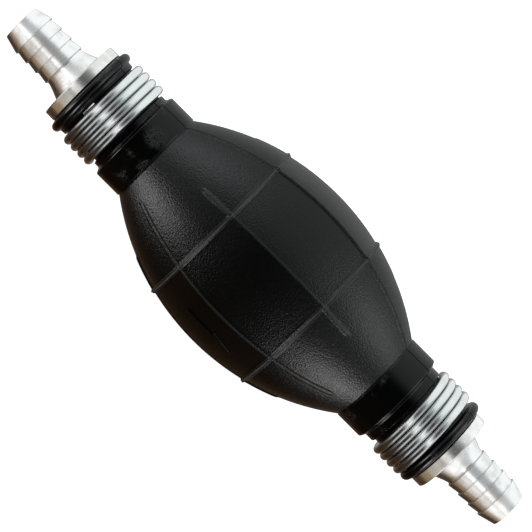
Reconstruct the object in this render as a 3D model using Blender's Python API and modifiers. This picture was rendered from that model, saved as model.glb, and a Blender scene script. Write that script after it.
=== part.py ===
"""Siphon bulb pump: a rubber hand bulb between two aluminium hose barbs, each holding a spring check valve.

+X is the flow, from the inlet to the outlet. +Z is up. The origin is the bulb's centre, on the pump's axis,
and the mould's parting plane is Y = 0. Sizes below are in millimetres and angles in degrees. An angle round
the axis is counted from +Z towards +Y.
"""

import math

import bmesh
import bpy
from mathutils import Matrix, Vector

MM = 0.001
GAP = 0.3  # between pieces that touch

# The whole pump.
LENGTH = 180.0

# Barb fitting. Its depths run from its tip towards the bulb.
BORE_R = 4.3
TIP_R = 5.3
BARB_R = 6.6
BARB_ROOT_R = 6.1
BARB_COUNT = 4
BARB_FIRST = 4.9
BARB_PITCH = 3.6
BARB_DROP = 0.3
FLANGE_START = 20.9
FLANGE_END = 24.0
FLANGE_R = 12.0
FLANGE_EDGE = 0.4
FLARE_START = 16.4
FLARE_R = 7.85
PLUG_R = 9.2
PLUG_END = 46.0
RIDGE_R = 9.8
RIDGE_DEPTHS = (28.2, 41.6)
RIDGE_WIDTH = 1.6
CHAMBER_R = 7.7
CHAMBER_START = 25.0

# Rubber moulding. Its depths run from the fitting's tip too.
RUBBER_START = 24.4
BEAD_R = 1.2
NECK_R = 12.4
CLAMP_GROOVE_R = 11.4
CUFF_R = 13.8
CUFF_START = 41.6
BULB_R = 27.04
BULB_ARC_R = 67.9
BULB_HALF = 40.4
WALL = 3.0
RING_X = 16.4
RING_HEIGHT = 0.45
RING_WIDTH = 1.7
RIB_HEIGHT = 0.5
RIB_WIDTH = 1.6
# Angle round the bulb, and how far the rib runs each way from the middle.
RIBS = (
    (0, 40.0),
    (180, 40.0),
    (90, 35.0),
    (-90, 35.0),
    (45, 26.5),
    (135, 26.5),
    (-45, 26.5),
    (-135, 26.5),
)

# The two sides that the hand presses in: ellipses seen along Y.
SQUEEZE_HALF_LENGTH = 30.0
SQUEEZE_HALF_HEIGHT = 17.0

# Wire clamps. Each lies in a groove of its neck, and the inlet's leans towards one side.
WIRE_R = 1.15
CLAMP_MEAN_R = 12.9
CLAMP_PITCH = 2.43
CLAMP_TURNS = 3.56
CLAMP_START = {"inlet": 29.6, "outlet": 28.2}
CLAMP_PHASE = {"inlet": 49, "outlet": 153}
CLAMP_LEAN = {"inlet": 0.6, "outlet": 0.0}
CLAMP_LEAN_SIDE = 38
CLAMP_GROOVE = {"inlet": (28.7, 39.2), "outlet": (27.0, 38.3)}

# Valve cartridge. Its depths run from the seat's face, downstream.
SEAT_X = (-64.7, 46.7)  # inlet, outlet
HOUSING_R = 7.4
HOUSING_LENGTH = 16.1
HOUSING_BORE_R = 5.8
SEAT_BORE_R = 3.3
SEAT_DEPTH = 4.3
SEAT_LIP = 0.5
O_RING_GROOVE = (0.9, 2.9)
O_RING_GROOVE_R = 5.9
O_RING_SECTION_R = 0.65
HEAD_R = 4.9
HEAD_DEPTH = 6.5
HEAD_THICK = 1.4
STEM_R = 1.05
STEM_END = 17.2
STUD_R = 1.2
CAP_R = 1.9
SPRING_WIRE_R = 0.3
SPRING_MEAN_R = 3.2
SPRING_TURNS = 5
RETAINER_DEPTH = 16.4
RETAINER_THICK = 1.6
HUB_R = 2.3
HUB_START = 11.2
WINDOW_R = (2.9, 5.7)
SPOKE_COUNT = 3
SPOKE_HALF_ANGLE = 12

# Circlip, flat in its groove inside the fitting.
CIRCLIP_R = (6.9, 8.1)
CIRCLIP_THICK = 1.0
CIRCLIP_GAP = 38
CIRCLIP_EAR_R = 1.3
CIRCLIP_EYE_R = 0.55
CIRCLIP_GROOVE_R = 8.35
CIRCLIP_GROOVE = (43.6, 44.8)

# Colour, roughness and metallic value of each material.
MATERIALS = {
    "black_rubber": ((0.022, 0.022, 0.023), 0.5, 0.0),
    "turned_aluminium": ((0.86, 0.87, 0.88), 0.26, 1.0),
    "galvanised_wire": ((0.74, 0.76, 0.77), 0.28, 1.0),
    "white_acetal": ((0.8, 0.79, 0.75), 0.42, 0.0),
    "nitrile": ((0.03, 0.03, 0.032), 0.55, 0.0),
    "brass": ((0.78, 0.58, 0.26), 0.3, 1.0),
    "spring_steel": ((0.6, 0.6, 0.6), 0.3, 1.0),
}


def new_collection(name):
    collection = bpy.data.collections.new(name)
    bpy.context.scene.collection.children.link(collection)
    return collection


for old in list(bpy.data.objects):
    bpy.data.objects.remove(old)
PARTS = new_collection("siphon_bulb_pump")
CUTTERS = new_collection("cutters")


def material(name):
    """The named material, made once for each piece that uses it."""
    colour, roughness, metallic = MATERIALS[name]
    made = bpy.data.materials.new(name)
    made.use_nodes = True
    shader = made.node_tree.nodes["Principled BSDF"]
    shader.inputs["Base Color"].default_value = (*colour, 1.0)
    shader.inputs["Roughness"].default_value = roughness
    shader.inputs["Metallic"].default_value = metallic
    return made


def add_piece(name, data, parent, material_name):
    """A node of the pump, in its parent's place."""
    piece = bpy.data.objects.new(name, data)
    piece.data.materials.append(material(material_name))
    piece.parent = parent
    PARTS.objects.link(piece)
    return piece


def add_cutter(name, data, parent=None):
    cutter = bpy.data.objects.new(name, data)
    cutter.parent = parent
    cutter.hide_render = True
    cutter.display_type = "WIRE"
    CUTTERS.objects.link(cutter)
    return cutter


def add_empty(name, x, turn=0.0):
    """A place on the pump's axis for an end's pieces, turned round +Z."""
    empty = bpy.data.objects.new(name, None)
    empty.location = (x * MM, 0, 0)
    empty.rotation_euler = (0, 0, math.radians(turn))
    PARTS.objects.link(empty)
    return empty


def finished(name, shape):
    """The bmesh as a mesh of its own, with its faces pointing out."""
    bmesh.ops.recalc_face_normals(shape, faces=shape.faces)
    mesh = bpy.data.meshes.new(name)
    shape.to_mesh(mesh)
    shape.free()
    return mesh


def extrude_outline(shape, points, start, thick):
    """A flat outline of (y, z) points at depth start, made thick along X."""
    face = shape.faces.new([shape.verts.new((start * MM, y * MM, z * MM)) for y, z in points])
    made = bmesh.ops.extrude_face_region(shape, geom=[face])
    lifted = [part for part in made["geom"] if isinstance(part, bmesh.types.BMVert)]
    bmesh.ops.translate(shape, vec=(thick * MM, 0, 0), verts=lifted)


def ring_sector(inner, outer, start, end, steps):
    """The flat outline of part of a ring, as (y, z) points, between two angles."""
    angles = [math.radians(start + (end - start) * i / steps) for i in range(steps + 1)]
    points = [(outer * math.sin(a), outer * math.cos(a)) for a in angles]
    return points + [(inner * math.sin(a), inner * math.cos(a)) for a in reversed(angles)]


def boolean(piece, operation, other):
    cut = piece.modifiers.new(other.name, "BOOLEAN")
    cut.operation = operation
    cut.object = other


def outline_mesh(name, outline):
    """A closed outline of (depth, radius) points, ready to be turned about the local Z axis."""
    following = outline[1:] + outline[:1]
    area = sum(z1 * r2 - z2 * r1 for (z1, r1), (z2, r2) in zip(outline, following))
    if area < 0:
        outline = outline[::-1]
    mesh = bpy.data.meshes.new(name)
    points = [(radius * MM, 0, depth * MM) for depth, radius in outline]
    edges = [(i, (i + 1) % len(points)) for i in range(len(points))]
    mesh.from_pydata(points, edges, [])
    return mesh


def turned(name, outline, steps, parent, material_name):
    """A turned piece. Its outline's depths run along its parent's X axis."""
    piece = add_piece(name, outline_mesh(name, outline), parent, material_name)
    piece.rotation_euler = (0, math.radians(90), 0)
    screw = piece.modifiers.new("turn", "SCREW")
    screw.steps = steps
    screw.render_steps = steps
    screw.use_merge_vertices = True
    screw.merge_threshold = 0.00001
    return piece


def arc(depth, radius, size, start, end, points):
    """Points on a round stretch of an outline. Angle 0 points down the depth, 90 outwards."""
    angles = [math.radians(start + (end - start) * i / (points - 1)) for i in range(points)]
    return [(depth + size * math.cos(a), radius + size * math.sin(a)) for a in angles]


def end_to_end(inlet_half, outlet_half):
    """The two halves of an outline, each by depth from its own tip, as the whole outline by X."""
    left = [(depth - LENGTH / 2, radius) for depth, radius in inlet_half]
    right = [(LENGTH / 2 - depth, radius) for depth, radius in outlet_half]
    return left + right[::-1]


def bulb_radius(x):
    return BULB_R - BULB_ARC_R + math.sqrt(BULB_ARC_R**2 - x**2)


# Barb fitting -----------------------------------------------------------------------------------------


def barb_outline():
    """Tip to flange: each barb rises to its crest and drops steeply on the bulb's side."""
    points = [(0, TIP_R)]
    for i in range(BARB_COUNT):
        crest = BARB_FIRST + i * BARB_PITCH
        points += [(crest, BARB_R), (crest + BARB_DROP, BARB_ROOT_R)]
    return points


def flare_outline():
    """A short plain stretch, then a hollow curve out to the flange."""
    run = FLANGE_START - FLARE_START
    rise = FLARE_R - BARB_ROOT_R
    return [(FLARE_START + run * t, BARB_ROOT_R + rise * t**1.15) for t in (0, 0.4, 0.7, 1)]


def ridge_outline(depth, foot, top):
    half = RIDGE_WIDTH / 2
    return [(depth - half, foot), (depth, top), (depth + half, foot)]


def fitting_outline():
    edge = FLANGE_EDGE
    points = barb_outline() + flare_outline()
    points += [(FLANGE_START, FLANGE_R - edge), (FLANGE_START + edge, FLANGE_R)]
    points += [(FLANGE_END - edge, FLANGE_R), (FLANGE_END, FLANGE_R - edge), (FLANGE_END, PLUG_R)]
    for depth in RIDGE_DEPTHS:
        points += ridge_outline(depth, PLUG_R, RIDGE_R)
    points += [(PLUG_END - 0.4, PLUG_R), (PLUG_END, PLUG_R - 0.4), (PLUG_END, CHAMBER_R)]
    groove_start, groove_end = CIRCLIP_GROOVE
    points += [(groove_end, CHAMBER_R), (groove_end, CIRCLIP_GROOVE_R)]
    points += [(groove_start, CIRCLIP_GROOVE_R), (groove_start, CHAMBER_R)]
    points += [(CHAMBER_START, CHAMBER_R), (CHAMBER_START, BORE_R), (0, BORE_R)]
    return points


# Rubber moulding --------------------------------------------------------------------------------------


def neck_outer(end):
    """End face to cuff: the end bead, the neck and the groove that the wire sits in."""
    bead_depth = RUBBER_START + BEAD_R
    points = [(RUBBER_START, NECK_R)]
    points += arc(bead_depth, NECK_R + 0.1, BEAD_R, 180, 0, 5)
    groove_start, groove_end = CLAMP_GROOVE[end]
    points += [(groove_start - 0.1, NECK_R), (groove_start, CLAMP_GROOVE_R)]
    points += [(groove_end, CLAMP_GROOVE_R), (groove_end + 0.1, NECK_R)]
    points += [(CUFF_START - 0.8, NECK_R), (CUFF_START, CUFF_R)]
    return points


def bulb_outer():
    """Cuff to the middle of the bulb, with one ring on the way."""
    steps = 6
    points = []
    for i in range(steps):
        x = -BULB_HALF * (1 - i / (steps - 0.5))
        if abs(x + RING_X) > RING_WIDTH:
            points.append((x, bulb_radius(x)))
    half = RING_WIDTH / 2
    for offset, height in ((-half, 0), (-half / 2, RING_HEIGHT), (half / 2, RING_HEIGHT), (half, 0)):
        x = offset - RING_X
        points.append((x, bulb_radius(x) + height))
    points.sort()
    return [(x + LENGTH / 2, radius) for x, radius in points]


def shell_inner():
    """Middle of the bulb to the end face: the chamber, then the neck's bore over the plug."""
    steps = 4
    points = []
    for i in range(steps):
        x = -BULB_HALF * (i + 0.5) / (steps - 0.5)
        points.append((x + LENGTH / 2, bulb_radius(x) - WALL))
    bore = PLUG_R + GAP
    points.append((PLUG_END + 0.5, bore))
    for depth in reversed(RIDGE_DEPTHS):
        points += ridge_outline(depth, bore, RIDGE_R + GAP)[::-1]
    points.append((RUBBER_START, bore))
    return points


def shell_outline():
    outer = end_to_end(neck_outer("inlet") + bulb_outer(), neck_outer("outlet") + bulb_outer())
    inner_half = shell_inner()[::-1]
    inner = end_to_end(inner_half, inner_half)
    return outer + inner[::-1]


def rib_row(shape, x, angle, reach):
    """One cross-section of a rib, turned to its place round the bulb. At the rib's ends its top dies away."""
    half = RIB_WIDTH / 2
    top = RIB_HEIGHT if abs(x) < reach else -0.4
    shoulder = min(top, 0.1)
    foot = -1.2
    section = [(-half, foot), (-half, shoulder), (-half / 2, top)]
    section += [(-across, height) for across, height in reversed(section)]
    turn = Matrix.Rotation(math.radians(-angle), 3, "X")
    row = []
    for across, height in section:
        place = Vector((x, across, bulb_radius(x) + height))
        row.append(shape.verts.new(turn @ place * MM))
    return row


def rib_cutter():
    """All the lengthwise ribs as one operand, each following the bulb's curve."""
    spans = 8
    shape = bmesh.new()
    for angle, reach in RIBS:
        stations = [reach * (2 * i / spans - 1) for i in range(spans + 1)]
        rows = [rib_row(shape, x, angle, reach) for x in stations]
        for row, following in zip(rows, rows[1:]):
            for i in range(len(row)):
                j = (i + 1) % len(row)
                shape.faces.new((row[i], row[j], following[j], following[i]))
        shape.faces.new(rows[0])
        shape.faces.new(rows[-1])
    return add_cutter("ribs", finished("ribs", shape))


def squeeze_cutter(name, side, grow):
    """An elliptical prism along Y through one side of the bulb. side is -1 at the front, 1 at the back."""
    shape = bmesh.new()
    bmesh.ops.create_cone(shape, cap_ends=True, segments=32, radius1=1, radius2=1, depth=1)
    mesh = finished(name, shape)
    reach = BULB_R + 3
    length = SQUEEZE_HALF_LENGTH + grow
    height = SQUEEZE_HALF_HEIGHT + grow
    mesh.transform(Matrix.Diagonal((length * MM, height * MM, reach * MM, 1)))
    cutter = add_cutter(name, mesh)
    cutter.rotation_euler = (math.radians(90), 0, 0)
    cutter.location = (0, side * reach / 2 * MM, 0)
    return cutter


def bulb():
    """The moulding, with the two sides that press in as pieces of their own."""
    ribs = rib_cutter()
    shell = turned("bulb_shell", shell_outline(), 32, None, "black_rubber")
    boolean(shell, "UNION", ribs)
    for name, side in (("front", -1), ("back", 1)):
        boolean(shell, "DIFFERENCE", squeeze_cutter(f"{name}_opening", side, GAP / 2))
        wall = turned(f"squeeze_wall_{name}", shell_outline(), 32, None, "black_rubber")
        boolean(wall, "UNION", ribs)
        boolean(wall, "INTERSECT", squeeze_cutter(f"{name}_pad", side, -GAP / 2))


# Wire clamp, springs and circlips ---------------------------------------------------------------------


def coil_path(start, pitch, turns, phase, mean_r, per_turn):
    """Points of a right-handed coil along X, as (depth, angle, radius). phase is where the first end lies."""
    count = round(turns * per_turn)
    for i in range(count + 1):
        turn = turns * i / count
        yield start + pitch * turn, math.radians(phase) - turn * math.tau, mean_r


def wire(name, path, wire_r, parent, material_name):
    """Round wire along a path of (depth, angle, radius)."""
    curve = bpy.data.curves.new(name, "CURVE")
    curve.dimensions = "3D"
    curve.bevel_depth = wire_r * MM
    curve.bevel_resolution = 2
    curve.use_fill_caps = True
    points = [(depth, radius * math.sin(angle), radius * math.cos(angle)) for depth, angle, radius in path]
    line = curve.splines.new("POLY")
    line.points.add(len(points) - 1)
    for point, place in zip(line.points, points):
        point.co = (*(c * MM for c in place), 1)
    return add_piece(name, curve, parent, material_name)


def wire_clamp(end, parent):
    path = coil_path(CLAMP_START[end], CLAMP_PITCH, CLAMP_TURNS, CLAMP_PHASE[end], CLAMP_MEAN_R, 16)
    side = math.radians(CLAMP_LEAN_SIDE)
    lean = CLAMP_LEAN[end]
    leaning = [(depth + lean * math.cos(angle - side), angle, radius) for depth, angle, radius in path]
    wire(f"{end}_wire_clamp", leaning, WIRE_R, parent, "galvanised_wire")


def peg_cutter(name, radius, length, middle, parent):
    """A round operand along X."""
    shape = bmesh.new()
    size = radius * MM
    bmesh.ops.create_cone(shape, cap_ends=True, segments=10, radius1=size, radius2=size, depth=length * MM)
    peg = add_cutter(name, finished(name, shape), parent)
    peg.rotation_euler = (0, math.radians(90), 0)
    peg.location = [c * MM for c in middle]
    return peg


def circlip(name, depth, parent):
    """An open ring with an eye at each end, its gap downwards."""
    inner, outer = CIRCLIP_R
    half_gap = CIRCLIP_GAP / 2
    shape = bmesh.new()
    sector = ring_sector(inner, outer, 180 + half_gap, 540 - half_gap, 16)
    extrude_outline(shape, sector, depth, CIRCLIP_THICK)
    clip = add_piece(name, finished(name, shape), parent, "spring_steel")
    ear_r = inner - 0.4
    for side, angle in (("left", 180 - half_gap - 7), ("right", 180 + half_gap + 7)):
        turn = math.radians(angle)
        middle = (depth + CIRCLIP_THICK / 2, ear_r * math.sin(turn), ear_r * math.cos(turn))
        ear = peg_cutter(f"{name}_{side}_ear", CIRCLIP_EAR_R, CIRCLIP_THICK, middle, parent)
        eye = peg_cutter(f"{name}_{side}_eye", CIRCLIP_EYE_R, CIRCLIP_THICK + 1, middle, parent)
        boolean(clip, "UNION", ear)
        boolean(clip, "DIFFERENCE", eye)


# Valve cartridge --------------------------------------------------------------------------------------


def housing_outline():
    groove_start, groove_end = O_RING_GROOVE
    points = [(0, HOUSING_R), (groove_start, HOUSING_R), (groove_start, O_RING_GROOVE_R)]
    points += [(groove_end, O_RING_GROOVE_R), (groove_end, HOUSING_R), (HOUSING_LENGTH, HOUSING_R)]
    points += [(HOUSING_LENGTH, HOUSING_BORE_R), (SEAT_DEPTH, HOUSING_BORE_R)]
    points += [(SEAT_DEPTH, SEAT_BORE_R + 0.8), (SEAT_DEPTH + SEAT_LIP, SEAT_BORE_R + 0.6)]
    points += [(SEAT_DEPTH + SEAT_LIP, SEAT_BORE_R), (0.6, SEAT_BORE_R), (0, SEAT_BORE_R + 0.6)]
    return points


def poppet_outline():
    """Cap, stud, head and stem on the axis. The cap holds the seal washer on the stud."""
    cap_start = SEAT_DEPTH
    cap_end = cap_start + 0.6
    head_end = HEAD_DEPTH + HEAD_THICK
    points = [(cap_start, 0), (cap_start, CAP_R), (cap_end, CAP_R), (cap_end, STUD_R), (HEAD_DEPTH, STUD_R)]
    points += [(HEAD_DEPTH, HEAD_R), (head_end - 0.4, HEAD_R), (head_end, HEAD_R - 0.4), (head_end, STEM_R)]
    points += [(STEM_END - 0.3, STEM_R), (STEM_END, STEM_R - 0.3), (STEM_END, 0)]
    return points


def seal_outline():
    start = SEAT_DEPTH + SEAT_LIP + GAP
    end = HEAD_DEPTH - 0.2
    bore = STUD_R + GAP
    return [(start, bore), (start, HEAD_R - 0.2), (start + 0.2, HEAD_R), (end, HEAD_R), (end, bore)]


def retainer_outline():
    end = RETAINER_DEPTH + RETAINER_THICK
    bore = STEM_R + GAP
    points = [(HUB_START, bore), (HUB_START, HUB_R - 0.3), (HUB_START + 0.3, HUB_R), (RETAINER_DEPTH, HUB_R)]
    points += [(RETAINER_DEPTH, HOUSING_R), (end, HOUSING_R), (end, bore)]
    return points


def window_cutter(name, parent):
    """The flow windows between the retainer's spokes, as one operand."""
    inner, outer = WINDOW_R
    shape = bmesh.new()
    for i in range(SPOKE_COUNT):
        start = i * 360 / SPOKE_COUNT + SPOKE_HALF_ANGLE
        end = (i + 1) * 360 / SPOKE_COUNT - SPOKE_HALF_ANGLE
        sector = ring_sector(inner, outer, start, end, 4)
        extrude_outline(shape, sector, RETAINER_DEPTH - 1, RETAINER_THICK + 2)
    return add_cutter(name, finished(name, shape), parent)


def valve(end, seat_x):
    """One check valve. Both face downstream, so both ends place it the same way round."""
    seat = add_empty(f"{end}_valve_seat", seat_x)
    turned(f"{end}_valve_housing", housing_outline(), 20, seat, "white_acetal")
    groove_middle = sum(O_RING_GROOVE) / 2
    ring_r = HOUSING_R + 0.1 - O_RING_SECTION_R
    section = arc(groove_middle, ring_r, O_RING_SECTION_R, 0, 300, 6)
    turned(f"{end}_housing_o_ring", section, 20, seat, "nitrile")
    turned(f"{end}_valve_poppet", poppet_outline(), 16, seat, "brass")
    turned(f"{end}_poppet_seal", seal_outline(), 16, seat, "nitrile")
    retainer = turned(f"{end}_spring_retainer", retainer_outline(), 20, seat, "white_acetal")
    boolean(retainer, "DIFFERENCE", window_cutter(f"{end}_windows", seat))
    start = HEAD_DEPTH + HEAD_THICK + 0.2 + SPRING_WIRE_R
    end_depth = RETAINER_DEPTH - 0.2 - SPRING_WIRE_R
    pitch = (end_depth - start) / SPRING_TURNS
    path = coil_path(start, pitch, SPRING_TURNS, 0, SPRING_MEAN_R, 9)
    wire(f"{end}_valve_spring", path, SPRING_WIRE_R, seat, "spring_steel")


def pump_end(end, tip_x, turn, seat_x):
    """One end: the fitting, its clamp and circlip by depth from the tip, and the valve in its chamber."""
    tip = add_empty(f"{end}_tip", tip_x, turn)
    turned(f"{end}_barb_fitting", fitting_outline(), 22, tip, "turned_aluminium")
    wire_clamp(end, tip)
    circlip(f"{end}_circlip", CIRCLIP_GROOVE[0] + 0.1, tip)
    valve(end, seat_x)


bulb()
pump_end("inlet", -LENGTH / 2, 0, SEAT_X[0])
pump_end("outlet", LENGTH / 2, 180, SEAT_X[1])
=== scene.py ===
"""Siphon bulb pump: the looks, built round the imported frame. Metres, +X is the flow, +Z is up."""

import math

import bmesh
import bpy
from mathutils import Matrix, Quaternion, Vector


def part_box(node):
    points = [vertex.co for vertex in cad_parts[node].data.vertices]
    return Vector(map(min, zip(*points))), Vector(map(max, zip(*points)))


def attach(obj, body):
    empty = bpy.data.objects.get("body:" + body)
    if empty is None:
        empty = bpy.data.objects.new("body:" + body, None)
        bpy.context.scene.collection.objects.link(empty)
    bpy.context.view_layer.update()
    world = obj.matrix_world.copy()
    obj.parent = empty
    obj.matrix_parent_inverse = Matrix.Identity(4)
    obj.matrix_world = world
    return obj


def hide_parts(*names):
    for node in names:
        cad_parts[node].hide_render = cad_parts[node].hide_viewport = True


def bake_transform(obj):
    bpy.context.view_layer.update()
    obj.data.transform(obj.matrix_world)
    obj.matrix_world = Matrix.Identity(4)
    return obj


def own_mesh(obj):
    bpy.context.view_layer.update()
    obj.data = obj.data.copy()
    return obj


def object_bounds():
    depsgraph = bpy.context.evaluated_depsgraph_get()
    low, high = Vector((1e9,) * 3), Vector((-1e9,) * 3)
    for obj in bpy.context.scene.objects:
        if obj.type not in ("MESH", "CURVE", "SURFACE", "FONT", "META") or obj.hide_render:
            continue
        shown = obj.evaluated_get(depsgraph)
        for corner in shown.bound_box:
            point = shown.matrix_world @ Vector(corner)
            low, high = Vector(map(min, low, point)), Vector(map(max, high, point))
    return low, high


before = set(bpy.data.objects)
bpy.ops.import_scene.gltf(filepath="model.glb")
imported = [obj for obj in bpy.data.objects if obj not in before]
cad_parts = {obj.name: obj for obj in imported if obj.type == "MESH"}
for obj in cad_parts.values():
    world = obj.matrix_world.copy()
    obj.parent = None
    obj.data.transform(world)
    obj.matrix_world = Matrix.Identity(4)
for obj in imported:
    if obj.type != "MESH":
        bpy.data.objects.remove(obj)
cad_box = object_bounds()

MM = 0.001

# Read from the frame: the tips of the barbs, the tops of the bulb's ribs and the floor.
TIP_X = -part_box("inlet_barb_fitting")[0].x
RIB_TOP = cad_box[1][2] / MM
FLOOR_Z = cad_box[0][2]

# The bulb, in millimetres and degrees.
RIBS = 8
RIB_SPACING = 360 / RIBS
RIB_HEIGHT = 0.36
FLASH_HEIGHT = 0.22
BULB_R = RIB_TOP - RIB_HEIGHT - FLASH_HEIGHT
BULB_ARC_R = 67.9
BULB_HALF = 40.4
WALL = 3.0
RING_X = 16.4
RING_HEIGHT = 0.48
RING_HALF_WIDTH = 0.8
PANEL_SINK = 0.8

# The necks and cuffs, by depth from each tip and radius.
LIP_START = 24.12
RUBBER_START = 24.4
BEAD_R = 1.3
NECK_R = 12.4
CUFF_START = 41.6
CUFF_END = 49.4
CUFF_R = 13.9
NECK_BORE_R = 9.5
NECK_BORE_END = 46.5

# Middle of the strongest rub mark, in metres.
RUB_MARK = (-0.044, -0.0083, 0.0111)

# The flow arrow: X and half width along it, the angle of its middle line, and its height.
ARROW = ((-7.1, 1.25), (-3, 1.25), (1.75, 1.25), (1.85, 2.6), (5, 1.32), (8.1, 0.06))
ARROW_ANGLE = -110.6
ARROW_HEIGHT = 0.33

# The barb fittings, by depth from each tip and radius.
BARBS = 4
TIP_R = 5.3
FIRST_CREST = 4.9
BARB_PITCH = 3.6
CREST_R = 6.6
ROOT_R = 6.1
FLARE_START = 16.4
FLARE_START_R = 6.12
FLARE_END_R = 7.85
FLANGE_FRONT = 20.9
FLANGE_BACK = 24.0
FLANGE_R = 12.0
BORE_R = 4.3
PLUG_END = 45.9
PLUG_R = 9.2
CHAMBER_START = 25.0
CHAMBER_R = 7.8

# The wire clamps, by depth from each tip.
WIRE_R = 1.19
CLAMP_MEAN_R = 12.9
CLAMP_PITCH = 2.43
CLAMP_TURNS = 3.56
CLAMP_START = {"inlet": 29.6, "outlet": 28.2}
CLAMP_PHASE = {"inlet": 49, "outlet": 153}
CLAMP_LEAN = {"inlet": 0.6, "outlet": 0.0}
CLAMP_LEAN_SIDE = 38
CLAMP_GROOVE = {"inlet": (28.75, 39.1), "outlet": (27.1, 38.2)}
CLAMP_GROOVE_R = 11.6

# The inlet clamp's tucked end, by depth and degrees.
TAIL_WIRE_R = 0.3
TAIL_DEPTH = 28.6
TAIL_ANGLE = -57.8
TAIL_SWEEP = 18

# The valve springs, in millimetres, and how far a valve lifts, in metres.
SPRING_WIRE_R = 0.3
SPRING_MEAN_R = 3.2
SPRING_TURNS = 5.0

ENDS = ("inlet", "outlet")
SIDES = {"inlet": -1, "outlet": 1}

# Camera, in metres and radians. The aim is a small step along the pump and upwards in the view.
CAMERA_DISTANCE = 0.80
CAMERA_LENS = 207.5
CAMERA_TURN = math.radians(-2.5)
CAMERA_RISE = math.radians(38.2)
CAMERA_ROLL = math.radians(45)
CAMERA_AIM = (-0.00022, 0.0003)

# The room round the pump: brightness by degrees from straight below, forwards and up.
ROOM = (
    (0, (0.03, 0.014, 0.006)),
    (20, (0.06, 0.032, 0.013)),
    (60, (0.04, 0.026, 0.012)),
    (97, (0.024, 0.022, 0.02)),
    (127, (0.012, 0.012, 0.012)),
    (147, (0.014, 0.015, 0.015)),
    (157, (0.2, 0.22, 0.22)),
    (166, (0.46, 0.5, 0.5)),
    (190, (0.58, 0.63, 0.63)),
    (270, (0.5, 0.53, 0.53)),
    (292, (0.36, 0.368, 0.368)),
    (310, (0.33, 0.33, 0.32)),
    (320, (0.26, 0.21, 0.17)),
    (333, (0.136, 0.08, 0.04)),
    (348, (0.088, 0.048, 0.02)),
    (359, (0.03, 0.014, 0.006)),
)
SIDE_WALL = 0.34


# Formulas in node trees ---------------------------------------------------------------------------------


def add(tree, kind, values=None, **settings):
    """One node. A value that is a socket or a Field is linked, any other is set."""
    node = tree.nodes.new(kind)
    for name, setting in settings.items():
        setattr(node, name, setting)
    for key, value in (values or {}).items():
        value = getattr(value, "socket", value)
        if isinstance(value, bpy.types.NodeSocket):
            tree.links.new(value, node.inputs[key])
        else:
            node.inputs[key].default_value = value
    return node


class Field:
    """A number in a node tree, so that a formula in nodes reads as a formula."""

    def __init__(self, tree, socket):
        self.tree = tree
        self.socket = socket

    def math(self, operation, *others):
        values = dict(enumerate((self, *others)))
        return Field(self.tree, add(self.tree, "ShaderNodeMath", values, operation=operation).outputs[0])

    def __add__(self, other):
        return self.math("ADD", other)

    def __sub__(self, other):
        return self.math("SUBTRACT", other)

    def __mul__(self, other):
        return self.math("MULTIPLY", other)

    def __truediv__(self, other):
        return self.math("DIVIDE", other)

    def __abs__(self):
        return self.math("ABSOLUTE")

    def step(self, start, end, low=0.0, high=1.0):
        """Low before start, high after end, and a smooth rise between them."""
        values = {"Value": self, "From Min": start, "From Max": end, "To Min": low, "To Max": high}
        node = add(self.tree, "ShaderNodeMapRange", values, interpolation_type="SMOOTHSTEP")
        return Field(self.tree, node.outputs["Result"])


def vector(tree, x, y, z):
    return add(tree, "ShaderNodeCombineXYZ", {"X": x, "Y": y, "Z": z}).outputs[0]


def split(tree, socket):
    node = add(tree, "ShaderNodeSeparateXYZ", {0: socket})
    return [Field(tree, output) for output in node.outputs]


# Geometry Nodes trees -----------------------------------------------------------------------------------


class Maker:
    """A Geometry Nodes tree with named inputs, which makes one kind of piece."""

    def __init__(self, name, **inputs):
        self.tree = bpy.data.node_groups.new(name, "GeometryNodeTree")
        face = self.tree.interface
        face.new_socket("Geometry", in_out="OUTPUT", socket_type="NodeSocketGeometry")
        face.new_socket("Geometry", in_out="INPUT", socket_type="NodeSocketGeometry")
        for key, kind in inputs.items():
            face.new_socket(key, in_out="INPUT", socket_type=f"NodeSocket{kind}")
        face.new_socket("Finish", in_out="INPUT", socket_type="NodeSocketMaterial")
        self.given = self.tree.nodes.new("NodeGroupInput")
        self.end = self.tree.nodes.new("NodeGroupOutput")

    def number(self, key):
        return Field(self.tree, self.given.outputs[key])

    def add(self, kind, values=None, **settings):
        return add(self.tree, kind, values, **settings)

    def index(self):
        return Field(self.tree, self.add("GeometryNodeInputIndex").outputs[0])

    def close(self, geometry):
        """Realize Instances and Set Material, then the output."""
        real = self.add("GeometryNodeRealizeInstances", {"Geometry": geometry}).outputs[0]
        values = {"Geometry": real, "Material": self.given.outputs["Finish"]}
        made = self.add("GeometryNodeSetMaterial", values).outputs[0]
        self.tree.links.new(made, self.end.inputs[0])

    def make(self, name, base, finish, **sizes):
        """Runs the tree on a base mesh and gives back the finished plain mesh object."""
        source = bpy.data.objects.new(f"{name}_source", base)
        bpy.context.scene.collection.objects.link(source)
        modifier = source.modifiers.new("maker", "NODES")
        modifier.node_group = self.tree
        for item in self.tree.interface.items_tree:
            if item.in_out == "INPUT" and item.name in sizes:
                modifier[item.identifier] = sizes[item.name]
            if item.in_out == "INPUT" and item.name == "Finish":
                modifier[item.identifier] = finish
        depsgraph = bpy.context.evaluated_depsgraph_get()
        evaluated = source.evaluated_get(depsgraph)
        mesh = bpy.data.meshes.new_from_object(evaluated, depsgraph=depsgraph)
        mesh.name = name
        bpy.data.objects.remove(source)
        piece = bpy.data.objects.new(name, mesh)
        bpy.context.scene.collection.objects.link(piece)
        return piece


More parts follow.
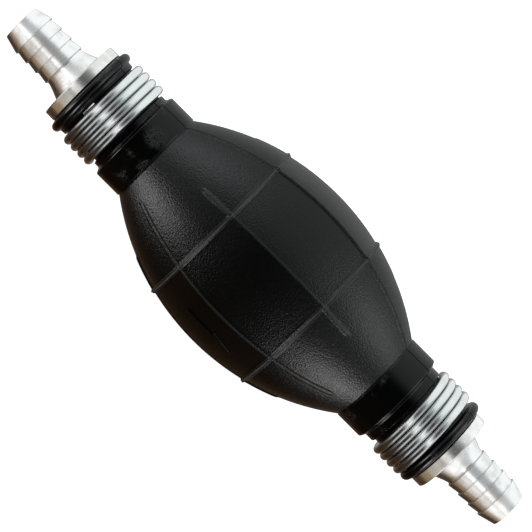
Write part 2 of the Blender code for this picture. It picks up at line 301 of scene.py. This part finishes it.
def turning_maker(name, relief=None, **inputs):
    """Turns an outline about the X axis. The outline is a mesh of points in a row, each (depth, 0, radius).

    With Crowding above 0, columns lie closer together at each rib. relief, where given, takes the maker,
    x, the radius and the angle, and gives back the new radius.
    """
    maker = Maker(name, Columns="Int", Start="Float", Sweep="Float", Crowding="Float", **inputs)
    tree = maker.tree
    outline = maker.given.outputs["Geometry"]
    columns = maker.number("Columns")
    rows = maker.add("GeometryNodeAttributeDomainSize", {"Geometry": outline}).outputs["Point Count"]
    grid = maker.add("GeometryNodeMeshGrid", {"Vertices X": rows, "Vertices Y": columns})
    row = (maker.index() / columns + 0.0001).math("FLOOR")
    column = maker.index() - row * columns
    place = maker.add("GeometryNodeInputPosition").outputs[0]
    values = {"Geometry": outline, "Value": place, "Index": row}
    sample = maker.add("GeometryNodeSampleIndex", values, data_type="FLOAT_VECTOR", domain="POINT")
    x, _, radius = split(tree, sample.outputs[0])
    even = maker.number("Start") + maker.number("Sweep") * column / (columns - 1)
    angle = even - (even * RIBS).math("SINE") * maker.number("Crowding") / RIBS
    if relief:
        radius = relief(maker, x, radius, angle)
    point = vector(tree, x, radius * angle.math("SINE"), radius * angle.math("COSINE"))
    shaped = maker.add("GeometryNodeSetPosition", {"Geometry": grid.outputs["Mesh"], "Position": point})
    merged = maker.add("GeometryNodeMergeByDistance", {"Geometry": shaped.outputs[0], "Distance": 0.000002})
    maker.close(merged.outputs[0])
    return maker


COIL_COUNTS = ("Points", "Sides")
COIL_SIZES = (
    "Wire Radius",
    "Coil Radius",
    "Start",
    "Pitch",
    "Turns",
    "Phase",
    "Lean",
    "Lean Side",
    "Turn Way",
)


def coil_maker():
    """A coil of round wire along X, its ends cut square with the burr dressed off.

    Turn Way is 1 where the angle grows along the coil and -1 where it falls.
    """
    maker = Maker("wire_coil", **dict.fromkeys(COIL_COUNTS, "Int"), **dict.fromkeys(COIL_SIZES, "Float"))
    tree = maker.tree
    line = maker.add("GeometryNodeMeshLine", {"Count": maker.number("Points")}).outputs[0]
    curve = maker.add("GeometryNodeMeshToCurve", {"Mesh": line}).outputs[0]
    share = maker.index() / (maker.number("Points") - 1)
    turn = share * maker.number("Turns")
    angle = maker.number("Phase") + maker.number("Turn Way") * turn * math.tau
    lean = (angle - maker.number("Lean Side")).math("COSINE") * maker.number("Lean")
    x = maker.number("Start") + maker.number("Pitch") * turn + lean
    radius = maker.number("Coil Radius")
    point = vector(tree, x, radius * angle.math("SINE"), radius * angle.math("COSINE"))
    bent = maker.add("GeometryNodeSetPosition", {"Geometry": curve, "Position": point}).outputs[0]
    to_end = (abs(share - 0.5) * -2 + 1) * maker.number("Points")
    dressed = to_end.step(0.0, 1.5, 0.8, 1.0)
    rail = maker.add("GeometryNodeSetCurveRadius", {"Curve": bent, "Radius": dressed}).outputs[0]
    values = {"Resolution": maker.number("Sides"), "Radius": maker.number("Wire Radius")}
    ring = maker.add("GeometryNodeCurvePrimitiveCircle", values).outputs[0]
    values = {"Curve": rail, "Profile Curve": ring, "Fill Caps": True}
    wire = maker.add("GeometryNodeCurveToMesh", values)
    smooth = maker.add("GeometryNodeSetShadeSmooth", {"Geometry": wire.outputs[0]})
    maker.close(smooth.outputs[0])
    return maker


# Outlines -----------------------------------------------------------------------------------------------


# How many points rounded makes of one corner.
CORNER_POINTS = 7


def rounded(points, size):
    """An outline with each corner rounded by size, or by the corner's own third value, in millimetres.

    A support point each side of a corner keeps the flats flat.
    """
    made = []
    count = len(points)
    for i, point in enumerate(points):
        before = Vector(points[i - 1][:2])
        corner = Vector(point[:2])
        after = Vector(points[(i + 1) % count][:2])
        back = before - corner
        on = after - corner
        wanted = point[2] if len(point) > 2 else size
        reach = min(wanted, back.length * 0.45, on.length * 0.45)
        if wanted == 0 or math.degrees(back.angle(on)) > 174:
            made.append(tuple(corner))
            continue
        a = corner + back.normalized() * reach
        b = corner + on.normalized() * reach
        made.append(tuple(a + back.normalized() * reach * 0.25))
        for t in (0, 0.25, 0.5, 0.75, 1):
            made.append(tuple(a.lerp(corner, t).lerp(corner.lerp(b, t), t)))
        made.append(tuple(b + on.normalized() * reach * 0.25))
    return made


def arc(x, radius, size, start, end, points):
    """Points on a round stretch. Angle 0 points along +X, 90 outwards."""
    angles = [math.radians(start + (end - start) * i / (points - 1)) for i in range(points)]
    return [(x + size * math.cos(a), radius + size * math.sin(a)) for a in angles]


def outline_mesh(name, points, closed=True):
    """The outline as a row of loose points, put the way round that makes the turned faces point out."""
    following = points[1:] + points[:1]
    area = sum(x1 * r2 - x2 * r1 for (x1, r1), (x2, r2) in zip(points, following))
    if area < 0:
        points = points[::-1]
    if closed:
        points = points + points[:1]
    mesh = bpy.data.meshes.new(name)
    mesh.from_pydata([(x * MM, 0, radius * MM) for x, radius in points], [], [])
    return mesh


def bulb_radius(x):
    """The bulb's plain radius at x, in millimetres."""
    return BULB_R - BULB_ARC_R + math.sqrt(BULB_ARC_R**2 - x**2)


# Finishes -----------------------------------------------------------------------------------------------


def finish(name, colour, roughness, metallic=0.0, specular=0.5):
    """A material, its Principled shader and its tree."""
    material = bpy.data.materials.new(name)
    material.use_nodes = True
    tree = material.node_tree
    shader = tree.nodes["Principled BSDF"]
    shader.inputs["Base Color"].default_value = (*colour, 1)
    shader.inputs["Roughness"].default_value = roughness
    shader.inputs["Metallic"].default_value = metallic
    shader.inputs["Specular IOR Level"].default_value = specular
    return material, tree, shader


def noise(tree, coordinates, scale, detail=2.0, roughness=0.5, output="Fac"):
    values = {"Vector": coordinates, "Scale": scale, "Detail": detail, "Roughness": roughness}
    return Field(tree, add(tree, "ShaderNodeTexNoise", values).outputs[output])


def object_place(tree):
    return add(tree, "ShaderNodeTexCoord").outputs["Object"]


def from_axis(y, z):
    return (y * y + z * z).math("SQRT")


def lathe_rings(tree, place, fineness, detail=2.0):
    """Tool rings on whatever was turned about the X axis, on its faces as on its sides."""
    x, y, z = split(tree, place)
    across = (x + from_axis(y, z)) * fineness
    return noise(tree, vector(tree, across, 0.0, 0.0), 1.0, detail)


def colour_mix(tree, share, low, high):
    """low and high are each a colour or a socket."""
    ends = [c if isinstance(c, bpy.types.NodeSocket) else (*c, 1) for c in (low, high)]
    node = add(tree, "ShaderNodeMix", {"Factor": share, 6: ends[0], 7: ends[1]}, data_type="RGBA")
    return node.outputs[2]


def dress(tree, shader, colour, roughness, height, distance, strength=1.0):
    """Links the pattern of colour, roughness and relief to the shader."""
    values = {"Height": height, "Strength": strength, "Distance": distance}
    relief = add(tree, "ShaderNodeBump", values)
    tree.links.new(colour, shader.inputs["Base Color"])
    tree.links.new(roughness.socket, shader.inputs["Roughness"])
    tree.links.new(relief.outputs["Normal"], shader.inputs["Normal"])


def swell(x, sunk=0.0):
    """The bulb's plain radius as a formula in nodes, in metres, sunk by some millimetres."""
    arc_r = BULB_ARC_R * MM
    return (x * x * -1 + arc_r * arc_r).math("SQRT") + (BULB_R - BULB_ARC_R - sunk) * MM


def moulded_rubber():
    """Black rubber: stippled on the bulb, glossier on the cuffs and necks, greyed where it rubs, and
    lighter on the ring and rib crests as a painted highlight with some dust.
    """
    material, tree, shader = finish("moulded_rubber", (0.0012, 0.0012, 0.0012), 0.35, specular=0.4)
    place = object_place(tree)
    x, y, z = split(tree, place)
    on_bulb = abs(x).step(BULB_HALF * MM - 0.0002, BULB_HALF * MM + 0.0002, 1.0, 0.0)
    seam = abs(y).step(0.0001, 0.0005, 1.0, 0.0) * z.step(0.0, 0.001)
    grain = noise(tree, place, 2100, 2.0, 0.6)
    cloud = noise(tree, place, 45, 3.0)
    smear = noise(tree, place, 160, 4.0, 0.6)
    to_mark = add(tree, "ShaderNodeVectorMath", {0: place, 1: RUB_MARK}, operation="DISTANCE")
    mark = Field(tree, to_mark.outputs["Value"]).step(0.0005, 0.0042, 0.7, 0.0)
    rubbed = (noise(tree, place, 110, 2.0).step(0.56, 0.7) * 0.4 + mark) * (on_bulb * -1 + 1)
    scuff = noise(tree, place, 1300, 4.0, 0.7).step(0.42, 0.66) * rubbed
    from_ring = abs(abs(x) - RING_X * MM)
    ring_crest = from_ring.step(0.0001, 0.0003, 1.0, 0.0)
    proud = from_axis(y, z) - swell(x)
    rib_crest = proud.step(0.00027, 0.00034) * from_ring.step(0.0008, 0.001) * 0.35
    # The ring and rib crests are lightened in colour: a painted highlight along the crests, with some dust
    # on them.
    crest_dust_and_highlight = (ring_crest + rib_crest) * on_bulb * (smear * 0.8 + 0.5)
    roughness = on_bulb * 0.09 + cloud * 0.06 + smear * 0.05 + scuff * 0.1 + seam * 0.5 + crest_dust_and_highlight * 0.3
    black = colour_mix(tree, cloud, (0.0006, 0.0007, 0.0007), (0.0015, 0.0016, 0.0016))
    # Scuffs grey the rubber as real wear; the crest mask lightens it as a painted highlight with dust.
    colour = colour_mix(tree, crest_dust_and_highlight + scuff * 0.3, black, (0.065, 0.067, 0.065))
    dress(tree, shader, colour, roughness + 0.16, grain * on_bulb + scuff * 1.6, 0.00014)
    return material


def turned_aluminium():
    """Bright aluminium off the lathe: fine rings in the surface, and a faint dullness in places."""
    material, tree, shader = finish("turned_aluminium", (0.7, 0.7, 0.7), 0.2, 1.0)
    place = object_place(tree)
    rings = lathe_rings(tree, place, 7000)
    broad = lathe_rings(tree, place, 1500, 1.0)
    cloud = noise(tree, place, 260, 3.0)
    colour = colour_mix(tree, cloud.step(0.42, 0.66), (0.7, 0.705, 0.71), (0.58, 0.57, 0.55))
    roughness = cloud * 0.2 + rings * 0.1 + 0.12
    dress(tree, shader, colour, roughness, rings * 0.7 + broad * 0.3, 0.00004)
    return material


def galvanised_wire():
    """Bright drawn wire with faint marks and a few duller patches."""
    material, tree, shader = finish("galvanised_wire", (0.7, 0.7, 0.7), 0.22, 1.0)
    place = object_place(tree)
    patch = noise(tree, place, 220, 3.0)
    scratch = noise(tree, place, 1500, 2.0)
    colour = colour_mix(tree, patch, (0.5, 0.52, 0.525), (0.66, 0.675, 0.675))
    dress(tree, shader, colour, patch * 0.2 + scratch * 0.08 + 0.1, scratch, 0.00004, 0.15)
    return material


def spring_steel():
    """Bright steel wire, drawn and lightly oiled."""
    material, tree, shader = finish("spring_steel", (0.5, 0.5, 0.49), 0.25, 1.0)
    place = object_place(tree)
    patch = noise(tree, place, 600, 3.0)
    drawn = noise(tree, place, 4000, 2.0)
    colour = colour_mix(tree, patch, (0.42, 0.42, 0.41), (0.62, 0.62, 0.6))
    dress(tree, shader, colour, patch * 0.25 + 0.12, drawn, 0.00002, 0.2)
    return material


def white_acetal():
    """Machined acetal: milky, with faint tool rings."""
    material, tree, shader = finish("white_acetal", (0.8, 0.79, 0.75), 0.35)
    shader.inputs["Subsurface Weight"].default_value = 0.1
    shader.inputs["Subsurface Radius"].default_value = (0.002, 0.002, 0.0015)
    place = object_place(tree)
    rings = lathe_rings(tree, place, 5000)
    cloud = noise(tree, place, 300, 2.0)
    colour = colour_mix(tree, cloud, (0.78, 0.77, 0.72), (0.84, 0.83, 0.8))
    dress(tree, shader, colour, rings * 0.15 + 0.28, rings, 0.00002, 0.3)
    return material


def turned_brass():
    """Turned brass, slightly dulled by water."""
    material, tree, shader = finish("turned_brass", (0.72, 0.53, 0.25), 0.25, 1.0)
    place = object_place(tree)
    rings = lathe_rings(tree, place, 6000)
    cloud = noise(tree, place, 350, 3.0)
    colour = colour_mix(tree, cloud, (0.75, 0.56, 0.27), (0.55, 0.38, 0.18))
    dress(tree, shader, colour, cloud * 0.25 + 0.14, rings, 0.00002, 0.4)
    return material


def nitrile_rubber():
    """Matt black seal rubber with a fine grain and a trace of talc."""
    material, tree, shader = finish("nitrile_rubber", (0.02, 0.02, 0.02), 0.5, specular=0.35)
    place = object_place(tree)
    grain = noise(tree, place, 3500, 2.0)
    talc = noise(tree, place, 700, 3.0).step(0.55, 0.75)
    colour = colour_mix(tree, talc, (0.014, 0.014, 0.014), (0.05, 0.05, 0.048))
    dress(tree, shader, colour, grain * 0.2 + talc * 0.2 + 0.35, grain, 0.00003, 0.3)
    return material


# The bulb moulding --------------------------------------------------------------------------------------


def neck_outer(end):
    """From the end face to the cuff, by depth from the end's tip."""
    bead = arc(RUBBER_START + BEAD_R, NECK_R + 0.15, BEAD_R, 180, 0, 13)
    groove_start, groove_end = CLAMP_GROOVE[end]
    groove = [(groove_start - 0.1, NECK_R), (groove_start, CLAMP_GROOVE_R)]
    groove += [(groove_end, CLAMP_GROOVE_R), (groove_end + 0.1, NECK_R)]
    cuff = [(CUFF_START - 0.8, NECK_R), (CUFF_START, CUFF_R)]
    face = [(LIP_START, NECK_R - 0.9), (LIP_START, NECK_R - 0.45), (RUBBER_START + 0.1, NECK_R - 0.3)]
    corners = rounded([bead[-1], *groove, *cuff, (CUFF_END, CUFF_R)], 0.25)
    cuff_end = [(CUFF_END - back, CUFF_R) for back in (4, 0.3, 0)]
    return face + bead + corners[CORNER_POINTS:-CORNER_POINTS] + cuff_end


def bulb_stations():
    """Depths along half the bulb, closest together over the ring."""
    stations = []
    x = -BULB_HALF
    while x < -0.2:
        stations.append(x)
        near_ring = abs(x + RING_X) < RING_HALF_WIDTH + 0.5
        x += 0.14 if near_ring else 0.62
    return stations


def ring_bead(x):
    share = min(1, abs(abs(x) - RING_X) / RING_HALF_WIDTH)
    rise = 1 - max(0, (share - 0.35) / 0.65)
    return RING_HEIGHT * rise * rise * (3 - 2 * rise)


def moulding_outline():
    """The moulding's whole section by X: outside from end to end, then back along the inside."""
    tip = -TIP_X / MM
    bulb_half_outer = [(x, bulb_radius(x) + ring_bead(x)) for x in bulb_stations()]
    left = [(tip + depth, radius) for depth, radius in neck_outer("inlet")] + bulb_half_outer
    right = [(-tip - depth, radius) for depth, radius in neck_outer("outlet")]
    right += [(-x, radius) for x, radius in bulb_half_outer]
    inner_half = [(tip + LIP_START, NECK_BORE_R), (tip + NECK_BORE_END, NECK_BORE_R)]
    inner_half += [(x, bulb_radius(x) - WALL) for x in range(-40, 0, 4)]
    inner = inner_half + [(-x, radius) for x, radius in reversed(inner_half)]
    return left + right[::-1] + inner[::-1]


# Long Rib and Short Rib are how far from the middle a rib runs, and Side Step shortens the side ribs.
RELIEF_SIZES = {
    "Rib Height": RIB_HEIGHT,
    "Rib Width": 1.7,
    "Long Rib": 40.2,
    "Side Step": 5.0,
    "Short Rib": 26.5,
    "Ring Place": RING_X,
    "Panel Sink": PANEL_SINK,
    "Flash": FLASH_HEIGHT,
}


def moulding_relief(maker, x, radius, angle):
    """Ribs every 45 degrees, panels a little flat between them, and flash on the parting line."""
    outside = radius.math("GREATER_THAN", swell(x, WALL / 2))
    on_outside = outside * abs(x).math("LESS_THAN", BULB_HALF * MM)
    spacing = math.radians(RIB_SPACING)
    sector = (angle / spacing).math("ROUND")
    from_rib = abs(angle - sector * spacing) * radius
    order = abs(sector)
    odd = order.math("MODULO", 2)
    side = order.math("COMPARE", 2, 0.1)
    reach = maker.number("Long Rib") * (odd * -1 + 1) - side * maker.number("Side Step")
    reach = reach + odd * maker.number("Short Rib")
    width = maker.number("Rib Width")
    rib = from_rib.step(width * 0.26, width * 0.42, 1.0, 0.0)
    to_end = reach - abs(x)
    ring_x = maker.number("Ring Place")
    between_rings = (abs(x) - ring_x).step(-0.0003, 0.0003, 1.0, 0.0)
    rib = rib * to_end.step(0.0, 0.0012) * (between_rings * odd * -0.7 + 1)
    half_panel = radius * (spacing / 2)
    panel = (from_rib / half_panel) * math.pi / 2
    sink = panel.math("SINE") * between_rings * maker.number("Panel Sink")
    seam = angle.math("SINE").math("ABSOLUTE") * radius
    place = vector(maker.tree, x * 900, angle.math("COSINE"), 0.0)
    ragged = Field(maker.tree, maker.add("ShaderNodeTexNoise", {"Vector": place, "Scale": 1.0}).outputs[0])
    fin = seam.step(0.00005, 0.00035, 1.0, 0.0) * ragged.step(0.3, 0.6) * maker.number("Flash")
    proud = radius.math("GREATER_THAN", (NECK_R - 0.2) * MM)
    raised = rib * maker.number("Rib Height") - sink
    off_bulb = abs(x).math("GREATER_THAN", BULB_HALF * MM)
    return radius + raised * on_outside + fin * (proud * off_bulb).math("MAXIMUM", on_outside)


def bulb_half(maker, side, start, rubber):
    """Half the moulding, on one side of the parting line, from one end face to the other."""
    outline = outline_mesh("moulding_outline", moulding_outline())
    turning = {"Columns": 130, "Start": start, "Sweep": math.pi, "Crowding": 0.72}
    relief = {key: size * MM for key, size in RELIEF_SIZES.items()}
    piece = maker.make(f"bulb_{side}_half", outline, rubber, **turning, **relief)
    shape = bmesh.new()
    shape.from_mesh(piece.data)
    for face in shape.faces:
        face.smooth = True
    rim = [edge for edge in shape.edges if edge.is_boundary]
    caps = bmesh.ops.holes_fill(shape, edges=rim, sides=0)["faces"]
    for face in caps:
        face.smooth = False
        for edge in face.edges:
            edge.smooth = False
    shape.to_mesh(piece.data)
    shape.free()
    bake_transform(piece)
    return piece


def panel_radius(x, angle):
    """The outside between the rings, which is a little flat between two ribs."""
    from_rib = abs(angle - RIB_SPACING * round(angle / RIB_SPACING)) / (RIB_SPACING / 2)
    return bulb_radius(x) - PANEL_SINK * math.sin(from_rib * math.pi / 2)


def flow_arrow(rubber):
    """A plain block arrow, raised on the lower front panel, that points the way the water goes."""
    shape = bmesh.new()
    rings = []
    for x, half_width in ARROW:
        ring = []
        shares = [-1, -0.5, 0, 0.5, 1]
        layers = [(share, 0.0, ARROW_HEIGHT) for share in shares] + [(1, 0.12, 0.2)]
        layers += [(share, 0.12, -0.2) for share in reversed(shares)] + [(-1, 0.12, 0.2)]
        for share, wider, rise in layers:
            across = share * (half_width + wider)
            angle = ARROW_ANGLE + math.degrees(across / BULB_R)
            radius = (panel_radius(x, angle) + rise) * MM
            turn = math.radians(angle)
            ring.append(shape.verts.new((x * MM, radius * math.sin(turn), radius * math.cos(turn))))
        rings.append(ring)
    count = len(rings[0])
    for one, two in zip(rings, rings[1:]):
        for i in range(count):
            shape.faces.new((one[i], one[(i + 1) % count], two[(i + 1) % count], two[i]))
    shape.faces.new(rings[0])
    shape.faces.new(rings[-1][::-1])
    bmesh.ops.recalc_face_normals(shape, faces=shape.faces)
    mesh = bpy.data.meshes.new("flow_arrow")
    shape.to_mesh(mesh)
    shape.free()
    mesh.materials.append(rubber)
    piece = bpy.data.objects.new("flow_arrow", mesh)
    bpy.context.scene.collection.objects.link(piece)
    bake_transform(piece)
    return piece


def bulb(rubber):
    """The moulding in two halves, and the arrow on it."""
    maker = turning_maker("bulb_moulding", moulding_relief, **dict.fromkeys(RELIEF_SIZES, "Float"))
    front = bulb_half(maker, "front", -math.pi, rubber)
    back = bulb_half(maker, "back", 0.0, rubber)
    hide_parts("bulb_shell", "squeeze_wall_front")
    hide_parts("squeeze_wall_back")
    return [front, back, flow_arrow(rubber)]


# Barb fittings and wire clamps --------------------------------------------------------------------------


def fitting_outline():
    """By depth from the tip. The third value of a corner is its own rounding."""
    points = [(0, BORE_R, 0.25), (0, TIP_R, 0.2)]
    for i in range(BARBS):
        crest = FIRST_CREST + BARB_PITCH * i
        points += [(crest, CREST_R, 0.08), (crest + 0.3, ROOT_R, 0.12)]
    points += [(FLARE_START, FLARE_START_R, 0.3)]
    for share in (0.15, 0.35, 0.5, 0.65, 0.8, 0.92):
        depth = FLARE_START + (FLANGE_FRONT - FLARE_START) * share
        points += [(depth, FLARE_START_R + (FLARE_END_R - FLARE_START_R) * share**1.15, 0)]
    points += [(FLANGE_FRONT, FLARE_END_R, 0.12), (FLANGE_FRONT, FLANGE_R, 0.4)]
    points += [(FLANGE_BACK, FLANGE_R, 0.2), (FLANGE_BACK, PLUG_R, 0.1)]
    points += [(PLUG_END, PLUG_R, 0.3), (PLUG_END, CHAMBER_R, 0.2)]
    points += [(CHAMBER_START, CHAMBER_R, 0.1), (CHAMBER_START, BORE_R, 0.1)]
    return rounded(points, 0.1)


def fittings(aluminium):
    """The two turned barb fittings, which are the same part turned round."""
    maker = turning_maker("turned_fitting")
    outline = fitting_outline()
    made = []
    for end in ENDS:
        side = SIDES[end]
        tip = TIP_X / MM
        points = [(side * (tip - depth), radius) for depth, radius in outline]
        sizes = {"Columns": 129, "Start": 0.0, "Sweep": math.tau, "Crowding": 0.0}
        piece = maker.make(f"{end}_fitting", outline_mesh("fitting_outline", points), aluminium, **sizes)
        piece.data.shade_smooth()
        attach(piece, "body")
        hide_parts(f"{end}_barb_fitting")
        made.append(piece)
    return made


def clamps(wire):
    """The two wire clamps, and the inlet clamp's end where it is tucked in."""
    maker = coil_maker()
    made = []
    for end in ENDS:
        side = SIDES[end]
        sizes = {
            "Points": 321,
            "Sides": 20,
            "Wire Radius": WIRE_R * MM,
            "Coil Radius": CLAMP_MEAN_R * MM,
            "Start": side * (TIP_X - CLAMP_START[end] * MM),
            "Pitch": -side * CLAMP_PITCH * MM,
            "Turns": CLAMP_TURNS,
            "Phase": -side * math.radians(CLAMP_PHASE[end]),
            "Lean": -side * CLAMP_LEAN[end] * MM,
            "Lean Side": -side * math.radians(CLAMP_LEAN_SIDE),
            "Turn Way": float(side),
        }
        base = bpy.data.meshes.new("wire_base")
        piece = maker.make(f"{end}_clamp", base, wire, **sizes)
        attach(piece, "body")
        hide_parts(f"{end}_wire_clamp")
        made.append(piece)
    sizes = {
        "Points": 24,
        "Sides": 12,
        "Wire Radius": TAIL_WIRE_R * MM,
        "Coil Radius": (NECK_R + 0.28) * MM,
        "Start": -TIP_X + TAIL_DEPTH * MM,
        "Turns": TAIL_SWEEP / 360,
        "Phase": math.radians(TAIL_ANGLE),
        "Turn Way": -1.0,
    }
    tail = maker.make("inlet_clamp_tail", bpy.data.meshes.new("wire_base"), wire, **sizes)
    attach(tail, "body")
    return made + [tail]


def valves(steel):
    """Finishes for the valve parts inside the fittings, and a finer spring for each plain one."""
    acetal = white_acetal()
    seal = nitrile_rubber()
    kinds = {
        "valve_housing": acetal,
        "spring_retainer": acetal,
        "housing_o_ring": seal,
        "poppet_seal": seal,
        "valve_poppet": turned_brass(),
        "circlip": steel,
    }
    maker = coil_maker()
    for end in ENDS:
        for kind, material in kinds.items():
            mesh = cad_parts[f"{end}_{kind}"].data
            mesh.materials.clear()
            mesh.materials.append(material)
        low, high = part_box(f"{end}_valve_spring")
        sizes = {
            "Points": 400,
            "Sides": 12,
            "Wire Radius": SPRING_WIRE_R * MM,
            "Coil Radius": SPRING_MEAN_R * MM,
            "Start": low.x + SPRING_WIRE_R * MM,
            "Pitch": (high.x - low.x - 2 * SPRING_WIRE_R * MM) / SPRING_TURNS,
            "Turns": SPRING_TURNS,
            "Phase": 0.0,
            "Turn Way": 1.0,
        }
        piece = maker.make(f"{end}_spring", bpy.data.meshes.new("spring_base"), steel, **sizes)
        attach(piece, "body")
        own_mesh(piece)
        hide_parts(f"{end}_valve_spring")


# Studio -------------------------------------------------------------------------------------------------


def camera():
    """Looks at the pump from its front, a little above, with the flow running down to the right."""
    away = Vector((math.sin(CAMERA_TURN), -math.cos(CAMERA_RISE), math.sin(CAMERA_RISE))).normalized()
    along = (Vector((1, 0, 0)) - away * away.x).normalized()
    upward = away.cross(along)
    right = along * math.cos(CAMERA_ROLL) + upward * math.sin(CAMERA_ROLL)
    up = upward * math.cos(CAMERA_ROLL) - along * math.sin(CAMERA_ROLL)
    aim = along * CAMERA_AIM[0] + upward * CAMERA_AIM[1]
    data = bpy.data.cameras.new("camera")
    data.lens = CAMERA_LENS
    data.sensor_width = 36
    data.clip_start = 0.01
    made = bpy.data.objects.new("camera", data)
    turn = Matrix((right, up, away)).transposed()
    made.matrix_world = Matrix.Translation(aim + away * CAMERA_DISTANCE) @ turn.to_4x4()
    bpy.context.scene.collection.objects.link(made)
    bpy.context.scene.camera = made


def softbox(name, towards, size, radiance, colour=(1, 1, 1), distance=0.6, lean=0, only=()):
    """A rectangular lamp that faces the pump, flagged so that it lights only the given pieces.

    towards is the direction to it from the pump, and lean turns it in its own plane, in degrees.
    """
    data = bpy.data.lights.new(name, "AREA")
    data.shape = "RECTANGLE"
    data.size, data.size_y = size
    data.energy = radiance * math.pi * size[0] * size[1]
    data.color = colour
    made = bpy.data.objects.new(name, data)
    direction = Vector(towards).normalized()
    made.location = direction * distance
    turned = Quaternion((0, 0, 1), math.radians(lean))
    made.rotation_euler = (direction.to_track_quat("Z", "Y") @ turned).to_euler()
    made.visible_camera = False
    flagged = bpy.data.collections.new(f"lit_by_{name}")
    for piece in only:
        flagged.objects.link(piece)
    made.light_linking.receiver_collection = flagged
    bpy.context.scene.collection.objects.link(made)


def backdrop(name, mesh, material):
    """Pale paper that the camera sees and that throws no light or shade on the pump."""
    mesh.materials.append(material)
    piece = bpy.data.objects.new(name, mesh)
    bpy.context.scene.collection.objects.link(piece)
    piece.visible_diffuse = False
    piece.visible_glossy = False
    piece.visible_transmission = False
    piece.visible_shadow = False


def surroundings():
    """The room as the pump mirrors it: white above and behind, dark by the camera, and a warm table below.

    The angle runs round the pump's axis from straight below, forwards and up.
    """
    world = bpy.data.worlds.new("studio")
    world.use_nodes = True
    tree = world.node_tree
    x, y, z = split(tree, add(tree, "ShaderNodeTexCoord").outputs["Generated"])
    round_axis = z.math("ARCTAN2", y * -1) / math.tau + 0.25
    ramp = add(tree, "ShaderNodeValToRGB", {"Fac": round_axis.math("FRACT")})
    stops = ramp.color_ramp.elements
    while len(stops) > 1:
        stops.remove(stops[-1])
    for i, (degrees, colour) in enumerate(ROOM):
        stop = stops[0] if i == 0 else stops.new(degrees / 360)
        stop.position = degrees / 360
        stop.color = (*colour, 1)
    wall = abs(x).step(0.3, 0.65) * z.step(-0.9, -0.5) * SIDE_WALL
    mix = add(tree, "ShaderNodeMix", {"Factor": 1.0}, data_type="RGBA", blend_type="LIGHTEN")
    tree.links.new(ramp.outputs["Color"], mix.inputs[6])
    tree.links.new(vector(tree, wall, wall, wall), mix.inputs[7])
    tree.links.new(mix.outputs[2], tree.nodes["Background"].inputs["Color"])
    bpy.context.scene.world = world


def studio(rubber, turned, wires):
    """The floor, the backdrop, the room that the pump mirrors and the lamps."""
    metal = turned + wires
    bpy.context.scene.view_settings.view_transform = "Standard"
    paper, _, shader = finish("white_paper", (0.9, 0.9, 0.9), 0.9, specular=0.0)
    shader.inputs["Emission Color"].default_value = (1, 1, 1, 1)
    shader.inputs["Emission Strength"].default_value = 1.0
    shape = bmesh.new()
    bmesh.ops.create_grid(shape, x_segments=1, y_segments=1, size=3)
    bmesh.ops.translate(shape, vec=(0, 0, FLOOR_Z - 0.0001), verts=shape.verts)
    floor = bpy.data.meshes.new("floor")
    shape.to_mesh(floor)
    shape.free()
    backdrop("floor", floor, paper)
    shape = bmesh.new()
    bmesh.ops.create_icosphere(shape, subdivisions=3, radius=4)
    bmesh.ops.reverse_faces(shape, faces=shape.faces)
    dome = bpy.data.meshes.new("dome")
    shape.to_mesh(dome)
    shape.free()
    backdrop("dome", dome, paper)
    surroundings()
    cool = (0.93, 1, 1)
    softbox("left", (-0.76, -0.47, -0.335), (0.42, 0.23), 6, distance=0.7, lean=33, only=rubber)
    softbox("right", (0.76, -0.47, -0.335), (0.42, 0.23), 6.3, distance=0.7, lean=-33, only=rubber)
    softbox("left_back", (-0.75, 0.15, 0.64), (0.5, 0.55), 1.3, cool, distance=0.8, only=rubber)
    softbox("right_back", (0.77, 0.15, 0.6), (0.5, 0.55), 1.7, (0.95, 1, 1), distance=0.8, only=rubber)
    softbox("strip", (0, -0.934, 0.358), (1.3, 0.2), 1.5, only=metal)
    softbox("ceiling", (0, 0.72, 0.69), (1.8, 1.9), 0.75, only=metal)
    softbox("left_card", (-0.93, -0.3, -0.1), (0.8, 0.7), 0.5, only=metal)
    softbox("right_card", (0.93, -0.3, -0.1), (0.8, 0.7), 0.5, only=metal)
    softbox("front_card", (0, -0.95, -0.31), (1.3, 0.46), 0.65, (1, 0.95, 0.87), only=turned)
    softbox("table_card", (0, -0.6, -0.8), (1.3, 0.36), 0.3, (1, 0.72, 0.42), only=turned)
    softbox("left_wing", (-0.74, -0.6, 0.3), (0.6, 0.9), 0.42, lean=22, only=turned)
    softbox("right_wing", (0.74, -0.6, 0.3), (0.6, 0.9), 0.42, lean=-22, only=turned)


rubber_pieces = bulb(moulded_rubber())
turned_pieces = fittings(turned_aluminium())
wire_pieces = clamps(galvanised_wire())
valves(spring_steel())
camera()
studio(rubber_pieces, turned_pieces, wire_pieces)
